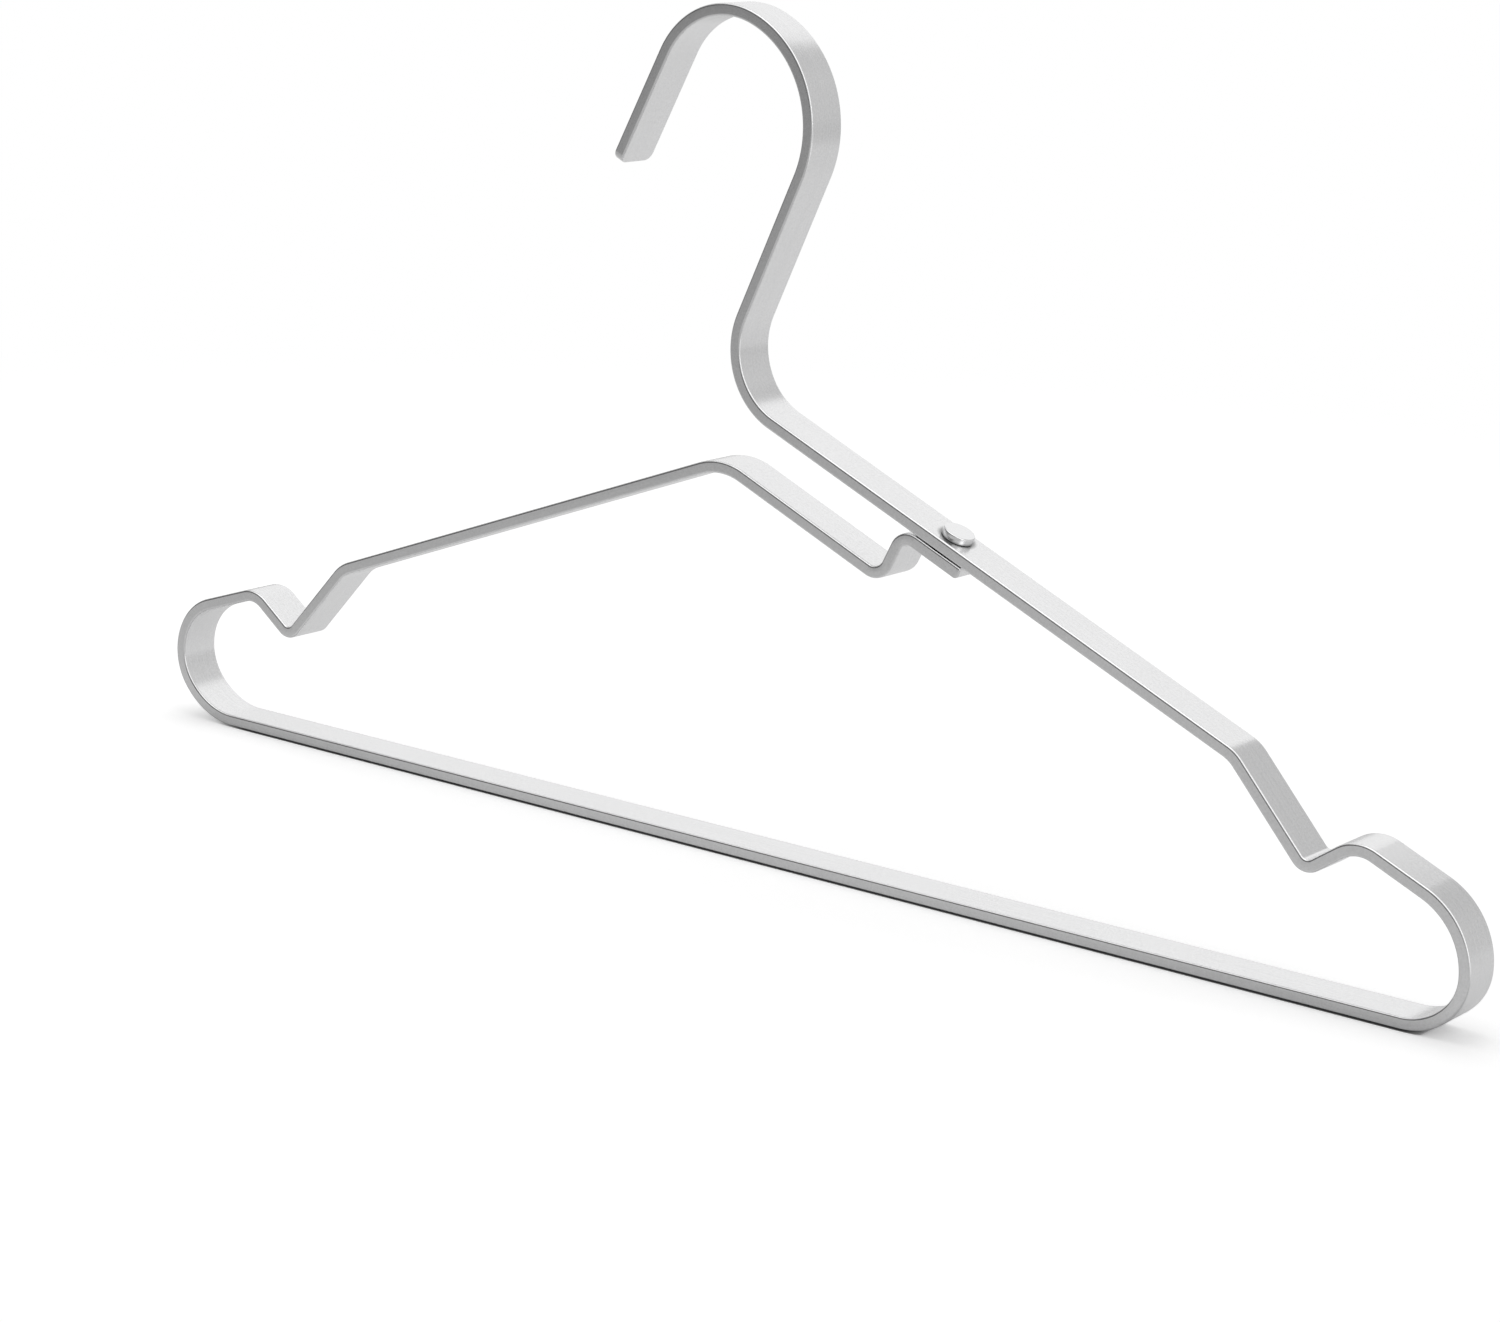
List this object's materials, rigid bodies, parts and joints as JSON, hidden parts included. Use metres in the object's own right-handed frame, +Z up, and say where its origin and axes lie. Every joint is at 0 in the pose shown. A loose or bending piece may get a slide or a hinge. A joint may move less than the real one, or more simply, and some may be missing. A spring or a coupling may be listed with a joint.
{
  "type": "clothes hanger",
  "caption": "Clothes hanger bent from one flat satin aluminium bar, with hook, notched shoulders and trouser bar, closed by a rivet.",
  "frame": {"origin": "on the ground under the middle of the hanger, which stands on its trouser bar", "axes": "+X along the trouser bar, towards the end whose shoulder carries the rivet; +Y across the bar's width, away from the camera; +Z up"},
  "size_m": [0.418, 0.0126, 0.2211],
  "materials": {
    "satin_aluminium": "satin anodised, even and very fine-grained",
    "bright_aluminium": "turned, slightly brighter than the bar"
  },
  "bodies": {
    "root": {"hanger_bar": "satin_aluminium", "rivet": "bright_aluminium"}
  },
  "joints": []
}
